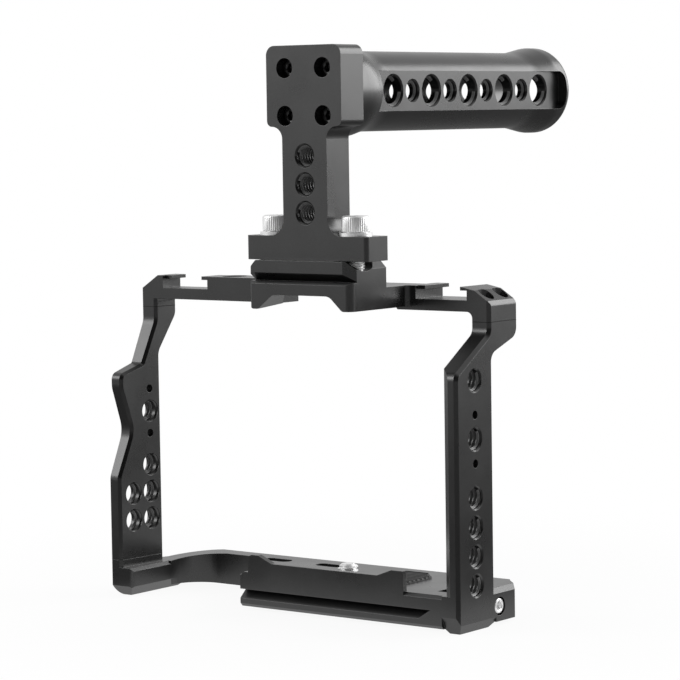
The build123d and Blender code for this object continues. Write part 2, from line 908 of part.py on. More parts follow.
with BuildPart() as top_plate:
    # Left half of the bar, with its corner and its shoe
    prism(
        facing(top_front),
        [
            (left_x, left_seam),
            (left_x, bar_top_left - left_corner_drop),
            (left_x + left_corner_run, bar_top_left),
            *shoe_outline(left_shoe_x, bar_top_left),
            (lens_x, bar_top_left),
            (lens_x, block_under),
            (lens_x - bar_step, block_under),
            (lens_x - bar_step, bar_under_left),
            (left_inner, bar_under_left, left_corner_r),
            (left_inner, left_seam),
        ],
        -bar_depth,
    )
    # Right half: a plain stretch, then the deeper shoe and corner
    shoe_wall = right_shoe_x - shoe_groove / 2 - shoe_lip
    prism(
        facing(top_front),
        [
            (lens_x, block_under),
            (lens_x, bar_top_right),
            (shoe_wall, bar_top_right),
            (shoe_wall, bar_under_right),
            (rail_r - right_foot_width, bar_under_right),
            right_foot[1],
        ],
        -bar_depth,
    )
    prism(
        facing(top_front),
        [
            (shoe_wall, bar_under_right),
            (shoe_wall, bar_top_right),
            *shoe_outline(right_shoe_x, bar_top_right),
            (right_x - right_corner_flat, bar_top_right - right_corner_drop),
            (right_x - right_slope_run, bar_top_right - right_slope_end),
            (right_x, bar_top_right - right_side_drop, corner_r),
            (right_x, right_seam),
            (right_inner, right_seam),
            (right_inner, bar_under_right, right_corner_r),
        ],
        -shoulder_depth,
    )
    # Inner side of the left corner, in line with the leaning face of its leg
    prism(
        Plane.XY.offset(left_seam),
        [
            (left_neck_x - left_inner_chamfer, top_front),
            (left_inner, top_front),
            (left_inner, top_back),
            (left_neck_x + left_taper * left_inner_chamfer, top_front + left_inner_chamfer),
        ],
        left_seam_drop,
        Mode.SUBTRACT,
    )
    # Outer front edge of the right corner, in line with the leg's
    prism(
        Plane.XY.offset(right_seam),
        [
            (right_x, top_front),
            (right_x - leg_outer_chamfer, top_front),
            (right_x, top_front + leg_outer_chamfer),
        ],
        bar_top_right - right_seam,
        Mode.SUBTRACT,
    )
    # The left lip of each shoe starts a little behind the front face
    for middle, top in ((left_shoe_x, bar_top_left), (right_shoe_x, bar_top_right)):
        block(
            (middle - shoe_groove / 2, middle - shoe_groove / 2 + shoe_lip),
            (top_front, top_front + shoe_relief),
            (top - shoe_lip_thick, top),
            Mode.SUBTRACT,
        )

    # Middle block: its rail, the thin floor behind it and the wall down its right side
    prism(
        facing(rail_front),
        [
            (rail_l, block_under),
            (rail_l, rail_top - rail_end_chamfer),
            (rail_l + rail_end_chamfer, rail_top),
            (rail_r - rail_end_chamfer, rail_top),
            (rail_r, rail_top - rail_end_chamfer),
            (rail_r, foot_z),
            *right_foot,
        ],
        -rail_depth,
    )
    block((rail_l, rail_r), (rail_back, top_back), (block_under, bar_top_right))
    prism(
        facing(rail_back),
        [
            (rail_r, bar_top_right),
            (rail_r, foot_z),
            *right_foot,
            (rail_r - 2 * right_foot_end, block_under),
            (rail_r - 2 * right_foot_end, bar_top_right),
        ],
        rail_back - top_front,
    )
    # Left foot: a tooth whose sole climbs and whose back is cut at a slant
    left_foot_end = left_foot_width + left_foot_slope
    prism(
        facing(rail_front),
        [
            (rail_l, block_under + foot_flat),
            (rail_l, foot_z, foot_round),
            (rail_l + left_foot_width, foot_z, foot_round),
            (rail_l + left_foot_end, block_under, foot_hollow_r),
            (rail_l + 2 * left_foot_end, block_under),
            (rail_l + 2 * left_foot_end, block_under + foot_flat),
        ],
        -left_foot_depth,
    )
    prism(
        along(rail_l),
        [
            (rail_front, foot_z),
            (rail_front + left_foot_depth, foot_z + left_foot_rise),
            (rail_front + left_foot_depth, foot_z),
        ],
        left_foot_end,
        Mode.SUBTRACT,
    )
    prism(
        Plane.XY.offset(foot_z),
        [
            (rail_l, rail_front + left_foot_depth),
            (rail_l + left_foot_depth, rail_front),
            (rail_l + left_foot_depth, rail_front + left_foot_depth),
        ],
        block_foot,
        Mode.SUBTRACT,
    )
    # Undercut along the rail's front
    prism(
        along(rail_l),
        [
            (rail_front, rail_top - groove_top),
            (rail_front + groove_depth, rail_top - groove_floor),
            (rail_front + groove_lip, rail_top - groove_floor),
            (rail_front, rail_top - groove_floor - groove_lip),
        ],
        rail_r - rail_l,
        Mode.SUBTRACT,
    )
    # Rounded front corners of the block, and a wide chamfer on the rail's right end
    for corner_x, inward, radius in ((rail_l, 1, block_left_r), (rail_r, -1, block_right_r)):
        nook(Plane.XY.offset(foot_z), (corner_x, rail_front), (inward, 1), radius, rail_top - foot_z)
    prism(
        Plane.XY.offset(rail_top - groove_floor),
        [
            (rail_r, rail_front),
            (rail_r - rail_corner_chamfer, rail_front),
            (rail_r, rail_front + rail_corner_chamfer),
        ],
        groove_floor,
        Mode.SUBTRACT,
    )
    # Round hollow in the rail's right end
    with Locations((rail_r, rail_front + scoop_setback, rail_top - scoop_drop + scoop_r)):
        Cylinder(scoop_r, 2 * scoop_length, rotation=(0, 90, 0), mode=Mode.SUBTRACT)
    # Inner corner between the block's right side and the bar
    block_edges = top_plate.edges().filter_by(Axis.Z)
    fillet(block_edges.sort_by_distance((rail_r, top_front, (foot_z + bar_top_right) / 2))[0], corner_r)

    # Boss behind the left bar, with a tapped hole
    boss_y = top_front + bar_boss_r
    with Locations((boss_x, boss_y, bar_under_left)):
        Cylinder(
            bar_boss_r,
            bar_top_left - bar_under_left,
            align=(Align.CENTER, Align.CENTER, Align.MIN),
        )
    with Locations((boss_x, boss_y, bar_top_left)):
        CounterSinkHole(quarter_r, bar_boss_sink_r, depth=bar_top_left - bar_under_left)

    # Tapped holes for the flange screws
    flange_holes = [
        (lens_x + s * flange_screw_offset, post_front + flange_screw_setback, rail_top) for s in (-1, 1)
    ]
    with Locations(*flange_holes):
        Hole(
            flange_screw_r + turn_clearance,
            depth=flange_screw_length - flange_thick - washer_thick + head_clearance,
        )

    # Sunk screw holes and pin holes over the legs
    seam_holes = [(right_screw_x, y, right_seam) for y in right_screw_ys]
    seam_holes.append((left_top_screw_x, left_top_screw_y, left_seam))
    for x, y, seam in seam_holes:
        with Locations((x, y, seam)):
            Cylinder(
                seam_screw_r + still_clearance,
                2 * seam_screw_cover,
                mode=Mode.SUBTRACT,
            )
        with Locations((x, y, seam + seam_screw_cover)):
            Cylinder(
                seam_screw_head_r + head_clearance,
                bar_top_left - seam,
                align=(Align.CENTER, Align.CENTER, Align.MIN),
                mode=Mode.SUBTRACT,
            )
    dowel_places = [
        (right_screw_x, sum(right_screw_ys) / 2, right_seam),
        (left_top_screw_x, left_top_dowel_y, left_seam),
    ]
    with Locations(*dowel_places):
        Cylinder(
            dowel_r + still_clearance,
            dowel_length + 2 * still_clearance,
            mode=Mode.SUBTRACT,
        )
top_plate.part.label = "top_plate"
export_step(top_plate.part, "parts/top_plate.step")

# ---------------------------------------------------------------- handle post
post_half = head_width / 2
stem_half = stem_width / 2
flange_half = flange_width / 2
post_right = [
    (lens_x + flange_half, rail_top),
    (lens_x + flange_half, stem_bottom),
    (lens_x + stem_half, stem_bottom, stem_foot_r),
    (lens_x + stem_half, head_bottom, head_neck_r),
    (lens_x + post_half, head_bottom, head_bottom_r),
    (lens_x + post_half, post_top, head_top_r),
]
post_left = [(2 * lens_x - corner[0], *corner[1:]) for corner in reversed(post_right)]
tube_screws = [(sx, sz) for sz in (-1, 1) for sx in (-1, 1)]

with BuildPart() as handle_post:
    prism(facing(post_front), post_right + post_left, -post_thick)
    block(
        (lens_x - flange_half, lens_x + flange_half),
        (post_front + flange_depth, post_back),
        (rail_top, stem_bottom),
        Mode.SUBTRACT,
    )
    flange_edges = handle_post.edges().filter_by(Axis.Z)
    for side in (-1, 1):
        fillet(
            flange_edges.sort_by_distance((lens_x + side * flange_half, post_front, rail_top + flange_thick / 2))[0],
            flange_corner,
        )
        flange_edges = handle_post.edges().filter_by(Axis.Z)
    with Locations(*[(x, y, stem_bottom) for x, y, z in flange_holes]):
        Cylinder(
            spot_face_r,
            2 * stem_foot_r,
            align=(Align.CENTER, Align.CENTER, Align.MIN),
            mode=Mode.SUBTRACT,
        )
        Hole(flange_screw_r + head_clearance, depth=flange_thick)
    tapped(facing(post_front), [(lens_x, z) for z in post_holes], quarter_r, post_thick)
    with Locations(facing(post_front)):
        with Locations(
            *[
                (lens_x + sx * tube_screw_offset, handle_z + sz * tube_screw_offset)
                for sx, sz in tube_screws
            ]
        ):
            CounterBoreHole(
                tube_screw_r + still_clearance,
                tube_screw_bore_r,
                tube_screw_sink,
                depth=post_thick,
            )
handle_post.part.label = "handle_post"
export_step(handle_post.part, "parts/handle_post.step")

# ---------------------------------------------------------------- handle tube
bore_x = lens_x - bore_shift
near_wall = flat_inset - bore_r + bore_shift
flat_x = lens_x + flat_inset

with BuildPart() as handle_tube:
    with BuildSketch(along(lens_x)) as tube_side:
        with BuildLine():
            FilletPolyline(
                (post_back, handle_z),
                (post_back, handle_z + flare_r),
                (post_back + front_collar, handle_z + flare_r),
                (post_back + front_collar + front_taper, handle_z + tube_r),
                (tube_end - rear_collar - rear_taper, handle_z + tube_r),
                (tube_end - rear_collar, handle_z + flare_r),
                (tube_end, handle_z + flare_r),
                (tube_end, handle_z),
                radius=[0, 0, taper_blend_r, taper_blend_r, taper_blend_r, rear_blend_r, rim_r, 0],
                close=True,
            )
        make_face()
    revolve(axis=Axis((lens_x, 0, handle_z), (0, 1, 0)))
    with BuildSketch(facing(post_back + bore_start)):
        with Locations((bore_x, handle_z)):
            Circle(bore_r)
    extrude(amount=bore_start - handle_length, mode=Mode.SUBTRACT)
    # Flat along the right side: crisp at its start, with the cutter's round at its rear corners
    flat_face = Plane(origin=(flat_x, 0, 0), x_dir=(0, 1, 0), z_dir=(1, 0, 0))
    prism(
        flat_face,
        [
            (post_back + flat_start, handle_z - flat_height / 2),
            (tube_end - flat_end_gap, handle_z - flat_height / 2, flat_end_r),
            (tube_end - flat_end_gap, handle_z + flat_height / 2, flat_end_r),
            (post_back + flat_start, handle_z + flat_height / 2),
        ],
        flare_r,
        Mode.SUBTRACT,
    )
    with Locations(flat_face):
        with Locations(*[(y, handle_z) for y in handle_holes[0::2]]):
            CounterSinkHole(
                three_eighths_r,
                three_eighths_r + mouth,
                depth=2 * flare_r,
                counter_sink_angle=90,
            )
        with Locations(*[(y, handle_z) for y in handle_holes[1::2]]):
            CounterSinkHole(quarter_r, quarter_r + mouth, depth=2 * flare_r, counter_sink_angle=90)
    with Locations(facing(post_back)):
        with Locations(
            *[
                (lens_x + sx * tube_screw_offset, handle_z + sz * tube_screw_offset)
                for sx, sz in tube_screws
            ]
        ):
            Hole(
                tube_screw_r + still_clearance,
                depth=tube_screw_length + tube_screw_sink - post_thick + head_clearance,
            )
handle_tube.part.label = "handle_tube"
export_step(handle_tube.part, "parts/handle_tube.step")

# ---------------------------------------------------------------- screws, washers and pins
for number, (sx, sz) in enumerate(tube_screws, start=1):
    tube_seat = Plane(
        origin=(
            lens_x + sx * tube_screw_offset,
            post_front + tube_screw_sink,
            handle_z + sz * tube_screw_offset,
        ),
        z_dir=(0, -1, 0),
    )
    cap_screw(
        tube_seat,
        tube_screw_head_r,
        tube_screw_head,
        tube_screw_r,
        tube_screw_length,
        tube_screw_key,
        "post_screw_" + str(number),
    )

for (x, y, z), side in zip(flange_holes, ("left", "right")):
    with BuildPart() as washer:
        with BuildSketch(Plane((x, y, stem_bottom))):
            Circle(washer_r)
            Circle(flange_screw_r + turn_clearance, mode=Mode.SUBTRACT)
        extrude(amount=washer_thick)
    washer.part.label = "flange_washer_" + side
    export_step(washer.part, "parts/flange_washer_" + side + ".step")
    cap_screw(
        Plane((x, y, stem_bottom + washer_thick)),
        flange_screw_head_r,
        flange_screw_head,
        flange_screw_r,
        flange_screw_length,
        flange_screw_key,
        "flange_screw_" + side,
    )

for y, place in zip(right_screw_ys, ("front", "rear")):
    cap_screw(
        Plane((right_screw_x, y, right_seam + seam_screw_cover)),
        seam_screw_head_r,
        seam_screw_head,
        seam_screw_r,
        seam_screw_length,
        seam_screw_key,
        "right_leg_screw_" + place,
    )
cap_screw(
    Plane((left_top_screw_x, left_top_screw_y, left_seam + seam_screw_cover)),
    seam_screw_head_r,
    seam_screw_head,
    seam_screw_r,
    seam_screw_length,
    seam_screw_key,
    "left_top_screw",
)
for y, place in zip(base_screw_ys, ("front", "rear")):
    cap_screw(
        Plane(origin=(base_screw_x, y, base_seam - seam_screw_cover), z_dir=(0, 0, -1)),
        seam_screw_head_r,
        seam_screw_head,
        seam_screw_r,
        base_screw_length,
        seam_screw_key,
        "left_base_screw_" + place,
    )
cap_screw(
    Plane(
        origin=(
            right_x - lug_screw_sink,
            base_front + lug_screw_setback,
            base_rise + lug_screw_height,
        ),
        z_dir=(1, 0, 0),
    ),
    lug_screw_head_r,
    lug_screw_head,
    lug_screw_r,
    lug_screw_length,
    lug_screw_key,
    "lug_screw",
)
dowel(*dowel_places[0], "right_dowel")
dowel(*dowel_places[1], "left_top_dowel")
dowel(base_screw_x, sum(base_screw_ys) / 2, base_seam, "left_base_dowel")

# ---------------------------------------------------------------- camera screw and its clip
web_under = base_rise + camera_head_pocket
clip_floor = base_top - clip_pocket
with BuildPart() as camera_screw:
    with BuildSketch(Plane((lens_x, camera_screw_y, web_under - turn_clearance - camera_head))):
        Circle(camera_head_r)
    extrude(amount=camera_head)
    with BuildSketch(Plane((lens_x, camera_screw_y, web_under - turn_clearance))):
        Circle(stud_r)
    extrude(amount=base_top + stud_height - web_under + turn_clearance)
    chamfer(camera_screw.edges().filter_by(GeomType.CIRCLE).sort_by(Axis.Z)[-1], 0.5)
    with BuildSketch(Plane((lens_x, camera_screw_y, clip_floor))):
        Circle(clip_r)
        Circle(clip_groove_r, mode=Mode.SUBTRACT)
    extrude(amount=clip_thick + 2 * turn_clearance, mode=Mode.SUBTRACT)
    with BuildSketch(Plane((lens_x, camera_screw_y, web_under - turn_clearance - camera_head))):
        Rectangle(2 * camera_head_r, coin_slot_width)
    extrude(amount=coin_slot_depth, mode=Mode.SUBTRACT)
camera_screw.part.label = "camera_screw"
export_step(camera_screw.part, "parts/camera_screw.step")

with BuildPart() as camera_screw_clip:
    with BuildSketch(Plane((lens_x, camera_screw_y, clip_floor + turn_clearance))) as clip_face:
        Circle(clip_r)
        Circle(clip_groove_r + still_clearance, mode=Mode.SUBTRACT)
        with Locations((0, clip_r)):
            Rectangle(clip_gap, 2 * clip_r, mode=Mode.SUBTRACT)
    extrude(amount=clip_thick)
camera_screw_clip.part.label = "camera_screw_clip"
export_step(camera_screw_clip.part, "parts/camera_screw_clip.step")

# ---------------------------------------------------------------- rubber pad
with BuildPart() as rubber_pad:
    pad_height = pad_base + pad_rib_height
    prism(Plane.XY.offset(base_top - pad_sink), pad_outline, pad_height)
    for groove in range(int(pad_depth / pad_rib_pitch)):
        groove_y = base_front + pad_setback + pad_rib_width + groove * pad_rib_pitch
        block(
            (lens_x + pad_left, lens_x + pad_right),
            (groove_y, groove_y + pad_rib_pitch - pad_rib_width),
            (base_top - pad_sink + pad_base, base_top - pad_sink + pad_height),
            Mode.SUBTRACT,
        )
rubber_pad.part.label = "rubber_pad"
export_step(rubber_pad.part, "parts/rubber_pad.step")
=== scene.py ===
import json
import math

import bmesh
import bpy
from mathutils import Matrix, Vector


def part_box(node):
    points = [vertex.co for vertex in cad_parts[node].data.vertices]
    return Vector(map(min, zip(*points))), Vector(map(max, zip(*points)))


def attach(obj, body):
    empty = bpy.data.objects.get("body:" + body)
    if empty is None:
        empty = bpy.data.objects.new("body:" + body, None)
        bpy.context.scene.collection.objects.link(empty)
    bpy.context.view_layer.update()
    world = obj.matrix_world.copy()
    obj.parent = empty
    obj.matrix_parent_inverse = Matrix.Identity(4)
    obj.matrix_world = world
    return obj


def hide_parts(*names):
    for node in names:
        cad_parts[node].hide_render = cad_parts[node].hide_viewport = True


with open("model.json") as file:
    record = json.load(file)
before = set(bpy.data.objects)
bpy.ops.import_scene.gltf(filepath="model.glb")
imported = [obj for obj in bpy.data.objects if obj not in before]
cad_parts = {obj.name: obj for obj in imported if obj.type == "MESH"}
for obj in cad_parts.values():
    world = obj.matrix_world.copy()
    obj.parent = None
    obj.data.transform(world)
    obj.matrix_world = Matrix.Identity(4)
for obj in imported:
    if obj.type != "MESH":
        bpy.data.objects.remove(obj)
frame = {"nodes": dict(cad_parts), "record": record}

# %% [markdown]
# # A camera cage with a top handle
#
# The real object is a frame of milled aluminium, blasted with glass beads and anodised black.
# Its plates and holes come from the CAD model, which is already loaded here as the fixed frame.
# This lesson adds what a milling cutter, a tap and a screw factory add on top of that: threads in
# every tapped hole, turned screws, a moulded rubber pad, and finishes that catch light as they do.
# Sizes of pieces are millimetres, brought to Blender's metres by `MM`. The lamps and the floor's
# reach are given in metres.

MM = 0.001
UP = Vector((0, 0, 1))
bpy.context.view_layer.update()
nodes = frame["nodes"]
mounts = frame["record"]["mounts"]


def box_mm(node):
    """A node's lowest and highest corners at rest, in millimetres."""
    return [Vector(corner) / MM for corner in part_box(node)]


print("nodes:", len(nodes), "mounts:", len(mounts))

# %% [markdown]
# ## The camera
#
# A long lens a little under a metre away keeps the cage's long edges almost parallel.
# The camera could be aimed with a Track To constraint, but a matrix built from three unit vectors
# (right, up and backwards) says the same thing in one place and also holds the slight tilt of the
# frame. The camera stands to the right of the post's middle line, about as high as the handle.

# %% Place the camera
LENS_X = next(mount["pos_m"][0] for mount in mounts if mount["name"] == "post_quarter_1")
POST_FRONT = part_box("handle_post")[0][1]
CAMERA_AT = Vector((LENS_X, POST_FRONT, 0)) + Vector((517.365, -666.10, 153.08)) * MM
CAMERA_TURN = math.radians(37.173)
CAMERA_DOWN = math.radians(4.572)
CAMERA_ROLL = math.radians(-0.857)
FOCAL_LENGTH_MM = 150.12
SENSOR_WIDTH_MM = 36.0

forward = Vector(
    (
        -math.sin(CAMERA_TURN) * math.cos(CAMERA_DOWN),
        math.cos(CAMERA_TURN) * math.cos(CAMERA_DOWN),
        -math.sin(CAMERA_DOWN),
    )
)
level_right = Vector((math.cos(CAMERA_TURN), math.sin(CAMERA_TURN), 0))
level_up = level_right.cross(forward)
frame_right = math.cos(CAMERA_ROLL) * level_right + math.sin(CAMERA_ROLL) * level_up
frame_up = math.cos(CAMERA_ROLL) * level_up - math.sin(CAMERA_ROLL) * level_right

lens = bpy.data.cameras.new("studio_lens")
lens.lens = FOCAL_LENGTH_MM
lens.sensor_width = SENSOR_WIDTH_MM
camera = bpy.data.objects.new("studio_camera", lens)
camera.matrix_world = Matrix.Translation(CAMERA_AT) @ Matrix(
    (frame_right, frame_up, -forward)
).transposed().to_4x4()
bpy.context.scene.collection.objects.link(camera)
bpy.context.scene.camera = camera
bpy.context.scene.view_settings.view_transform = "Standard"
print("camera is", round(CAMERA_AT.length, 3), "m from the middle of the feet")

# %% [markdown]
# ## Helpers for node trees
#
# Every light and finish below is a small tree of shader nodes. Wiring them by hand takes three
# lines a node, so a few helpers do what repeats: add a node with its values, join two sockets, work
# something out with a Math node, and turn one range of values into another.

# %% Node helpers
def add_node(tree, kind, **values):
    """A new node in the tree, with each value given to its property or socket of that name."""
    node = tree.nodes.new(kind)
    for name, value in values.items():
        if hasattr(node, name):
            setattr(node, name, value)
        else:
            node.inputs[name.replace("_", " ")].default_value = value
    return node


def join(tree, source, target):
    """A wire from one socket to another."""
    tree.links.new(source, target)


def calculate(tree, operation, *terms):
    """The result of a Math node whose terms are sockets or plain numbers."""
    node = add_node(tree, "ShaderNodeMath", operation=operation)
    for socket, term in zip(node.inputs, terms):
        if isinstance(term, bpy.types.NodeSocket):
            join(tree, term, socket)
        else:
            socket.default_value = term
    return node.outputs["Value"]


def ramp(tree, source, start, end, at_start=0.0, at_end=1.0, kind="LINEAR"):
    """A Map Range node's result: it goes from at_start to at_end as the source goes from start to end."""
    node = add_node(tree, "ShaderNodeMapRange", interpolation_type=kind)
    for name, value in (("From Min", start), ("From Max", end), ("To Min", at_start), ("To Max", at_end)):
        node.inputs[name].default_value = value
    join(tree, source, node.inputs["Value"])
    return node.outputs["Result"]


def grey(level):
    """A neutral grey at a linear level."""
    return (level, level, level, 1.0)


print("node helpers:", [helper.__name__ for helper in (add_node, join, calculate, ramp, grey)])

# %% [markdown]
# ## Studio light
#
# The cage stands in a pale studio: a white floor, a bright backdrop all round and two soft lamps.
# Only the side where the camera stands is dark, and that dark side is what draws the near black
# line down every rounded front corner. Light Path tells the rays apart: the camera sees plain
# white, mirror rays see the same white with the dark side in it, and the rays that light matt
# surfaces see a dimmer room, so the black metal isn't washed out.

# %% Tell the rays apart
def ray_kinds(tree):
    """Two sockets: 1 for the rays that the camera sends, and 1 for mirrored rays."""
    rays = add_node(tree, "ShaderNodeLightPath").outputs
    mirror_ray = calculate(tree, "MAXIMUM", rays["Is Glossy Ray"], rays["Is Transmission Ray"])
    return rays["Is Camera Ray"], mirror_ray


def mix_shaders(tree, share, first, second, output_kind):
    """Mixes two shaders by a share and sends the mix to a new output node."""
    mix = add_node(tree, "ShaderNodeMixShader")
    out = add_node(tree, output_kind)
    join(tree, share, mix.inputs["Fac"])
    join(tree, first.outputs[0], mix.inputs[1])
    join(tree, second.outputs[0], mix.inputs[2])
    join(tree, mix.outputs["Shader"], out.inputs["Surface"])


print("light helpers:", ray_kinds.__name__, mix_shaders.__name__)

# %% Build the room
BACKDROP_WHITE = 1.0
ROOM_FILL = 0.60
ROOM_DARK = 0.02
DARK_SIDE = Vector((0.62, -0.78, 0.05)).normalized()
DARK_BEGINS = 0.25
DARKEST_FROM = 0.66

world = bpy.data.worlds.new("pale_room")
bpy.context.scene.world = world
world.use_nodes = True
room = world.node_tree
room.nodes.clear()
camera_ray, mirror_ray = ray_kinds(room)
direction = add_node(room, "ShaderNodeTexCoord")
facing_dark = add_node(room, "ShaderNodeVectorMath", operation="DOT_PRODUCT")
facing_dark.inputs[1].default_value = DARK_SIDE
join(room, direction.outputs["Generated"], facing_dark.inputs[0])
backdrop = ramp(
    room, facing_dark.outputs["Value"], DARK_BEGINS, DARKEST_FROM, BACKDROP_WHITE, ROOM_DARK, "SMOOTHSTEP"
)
room_strength = add_node(room, "ShaderNodeMix", A=ROOM_FILL)
join(room, mirror_ray, room_strength.inputs["Factor"])
join(room, backdrop, room_strength.inputs["B"])
room_light = add_node(room, "ShaderNodeBackground")
join(room, room_strength.outputs["Result"], room_light.inputs["Strength"])
white_light = add_node(room, "ShaderNodeBackground", Color=grey(1.0), Strength=BACKDROP_WHITE)
mix_shaders(room, camera_ray, room_light, white_light, "ShaderNodeOutputWorld")
print("the room is dark towards", [round(v, 2) for v in DARK_SIDE])

# %% Hang the lamps
def soft_lamp(name, at, look_at, width, height, watts):
    """A large area lamp at one point, aimed at another."""
    lamp = bpy.data.lights.new(name, "AREA")
    lamp.shape = "RECTANGLE"
    lamp.size = width
    lamp.size_y = height
    lamp.energy = watts
    beam = Vector(look_at) - Vector(at)
    holder = bpy.data.objects.new(name, lamp)
    holder.matrix_world = Matrix.Translation(at) @ beam.to_track_quat("-Z", "Y").to_matrix().to_4x4()
    bpy.context.scene.collection.objects.link(holder)
    print(name, "stands", round(beam.length, 2), "m away")


soft_lamp("left_lamp", at=(-0.95, -1.05, 0.75), look_at=(0, 0, 0.12), width=0.9, height=0.7, watts=8.0)
soft_lamp("rear_lamp", at=(0.75, 1.00, 0.62), look_at=(0, 0, 0.16), width=1.3, height=0.9, watts=16.0)

# %% [markdown]
# ## The floor
#
# A seamless paper floor has no horizon. Here it is a big plane of matt white paper, and its
# material blends that paper with plain white. The camera sees a trace of the cage's soft shadow near
# the feet and plain white further out, so floor and background meet without an edge. The metal
# mirrors a floor with painted light and shade: plain white under the feet, a painted pool of light,
# then a wide band where the paper is painted dark grey as painted shade, and white again far away.
# That painted shade makes the fronts fall off to a darker grey towards the floor.

# %% Lay the floor
FLOOR_HALF = 4.0
FLOOR_DROP = 0.05

floor_bm = bmesh.new()
bmesh.ops.create_grid(floor_bm, x_segments=2, y_segments=2, size=FLOOR_HALF)
bmesh.ops.translate(floor_bm, vec=(0, 0, -FLOOR_DROP * MM), verts=floor_bm.verts)
floor_mesh = bpy.data.meshes.new("paper_floor")
floor_bm.to_mesh(floor_mesh)
floor_bm.free()
floor = bpy.data.objects.new("paper_floor", floor_mesh)
bpy.context.scene.collection.objects.link(floor)
print("floor reaches", FLOOR_HALF, "m each way")

# %% Make the paper
SHADOW_CORE = 0.03
SHADOW_EDGE = 0.22
SHADOW_WHITE = 0.92
DIM_BAND_START = 0.30
DIM_BAND_END = 2.0
# For mirror rays only: a painted pool of white light under the feet, and the paper painted a dark grey round
# them as painted shade.
FEET_INNER = 0.092
FEET_OUTER = 0.104
FEET_PAINTED_LIGHT = 0.95
PAPER_TONE = 0.86
MIRRORED_PAINTED_SHADE = 0.22

paper = bpy.data.materials.new("white_paper")
paper.use_nodes = True
tree = paper.node_tree
tree.nodes.clear()
camera_ray, mirror_ray = ray_kinds(tree)
place = add_node(tree, "ShaderNodeTexCoord")
length = add_node(tree, "ShaderNodeVectorMath", operation="LENGTH")
join(tree, place.outputs["Object"], length.inputs[0])
reach = length.outputs["Value"]
seen_white = ramp(tree, reach, SHADOW_CORE, SHADOW_EDGE, SHADOW_WHITE, 1.0, "SMOOTHSTEP")
far_white = ramp(tree, reach, DIM_BAND_START, DIM_BAND_END, kind="SMOOTHSTEP")
# Painted light: mirror rays see plain white right under the feet.
painted_feet_light = ramp(tree, reach, FEET_INNER, FEET_OUTER, FEET_PAINTED_LIGHT, 0.0)
mirror_white = calculate(tree, "MAXIMUM", far_white, painted_feet_light)
camera_white = calculate(tree, "MULTIPLY", camera_ray, seen_white)
white_share = calculate(tree, "MULTIPLY_ADD", mirror_ray, mirror_white, camera_white)
# The paper's own tone for matt rays; for mirror rays a darker grey that is painted shade.
paper_and_painted_shade = add_node(tree, "ShaderNodeMix", data_type="RGBA", A=grey(PAPER_TONE), B=grey(MIRRORED_PAINTED_SHADE))
join(tree, mirror_ray, paper_and_painted_shade.inputs["Factor"])
matt_paper = add_node(tree, "ShaderNodeBsdfDiffuse")
join(tree, paper_and_painted_shade.outputs["Result"], matt_paper.inputs["Color"])
plain_white = add_node(tree, "ShaderNodeEmission", Color=grey(1.0), Strength=BACKDROP_WHITE)
mix_shaders(tree, white_share, matt_paper, plain_white, "ShaderNodeOutputMaterial")
floor.data.materials.append(paper)
print("the paper has", len(tree.nodes), "nodes")

# %% [markdown]
# ## Shared effect: bead-blast grain
#
# Glass beads leave a skin of tiny round dents, a tenth of a millimetre or two across. Seen from
# half a metre they make the black look grey and soft. Two noise textures do it, a fine one for the
# dents and a coarse one for the slow change of tone that every anodising bath leaves. They sit in a
# node group with named inputs, so the same grain serves aluminium, steel and rubber at different
# sizes. The group hands out a height for a Bump node and two masks.

# %% Make the grain group
NOISE_LOW = 0.3
NOISE_HIGH = 0.7


def open_group(name, inputs, outputs):
    """A new shader node group with named float inputs and outputs."""
    group = bpy.data.node_groups.new(name, "ShaderNodeTree")
    for label, default in inputs:
        socket = group.interface.new_socket(label, in_out="INPUT", socket_type="NodeSocketFloat")
        socket.default_value = default
    for label in outputs:
        group.interface.new_socket(label, in_out="OUTPUT", socket_type="NodeSocketFloat")
    ins = add_node(group, "NodeGroupInput")
    outs = add_node(group, "NodeGroupOutput")
    return group, ins, outs


grain, grain_in, grain_out = open_group(
    "surface_grain", (("Dent Scale", 4200.0), ("Cloud Scale", 60.0)), ("Height", "Speckle", "Cloud")
)
grain_place = add_node(grain, "ShaderNodeTexCoord")
dents = add_node(grain, "ShaderNodeTexNoise", Detail=2.0, Roughness=0.5)
clouds = add_node(grain, "ShaderNodeTexNoise", Detail=4.0, Roughness=0.6)
cells = add_node(grain, "ShaderNodeTexVoronoi", feature="SMOOTH_F1")
for texture, scale in ((dents, "Dent Scale"), (clouds, "Cloud Scale"), (cells, "Dent Scale")):
    join(grain, grain_place.outputs["Object"], texture.inputs["Vector"])
    join(grain, grain_in.outputs[scale], texture.inputs["Scale"])
height = calculate(grain, "ADD", dents.outputs["Fac"], cells.outputs["Distance"])
speckle = ramp(grain, dents.outputs["Fac"], NOISE_LOW, NOISE_HIGH)
cloud = ramp(grain, clouds.outputs["Fac"], NOISE_LOW, NOISE_HIGH)
join(grain, height, grain_out.inputs["Height"])
join(grain, speckle, grain_out.inputs["Speckle"])
join(grain, cloud, grain_out.inputs["Cloud"])
print("grain group has", len(grain.nodes), "nodes")

# %% [markdown]
# ## Shared effect: worn edges
#
# Anodising is thin, so it polishes and pales first where two faces meet in an outer edge. An
# Ambient Occlusion node that looks inwards finds those edges: near an outer edge its short rays
# leave the solid, and inside a corner they don't. The mask is broken up with noise, because wear
# comes in patches and never as an even line.

# %% Make the edge wear group
WEAR_REACH = 0.35
FLAT_FACE = 0.95
SHARP_EDGE = 0.55
PATCH_LOW = 0.35
PATCH_HIGH = 0.65
PATCH_LEAST = 0.35

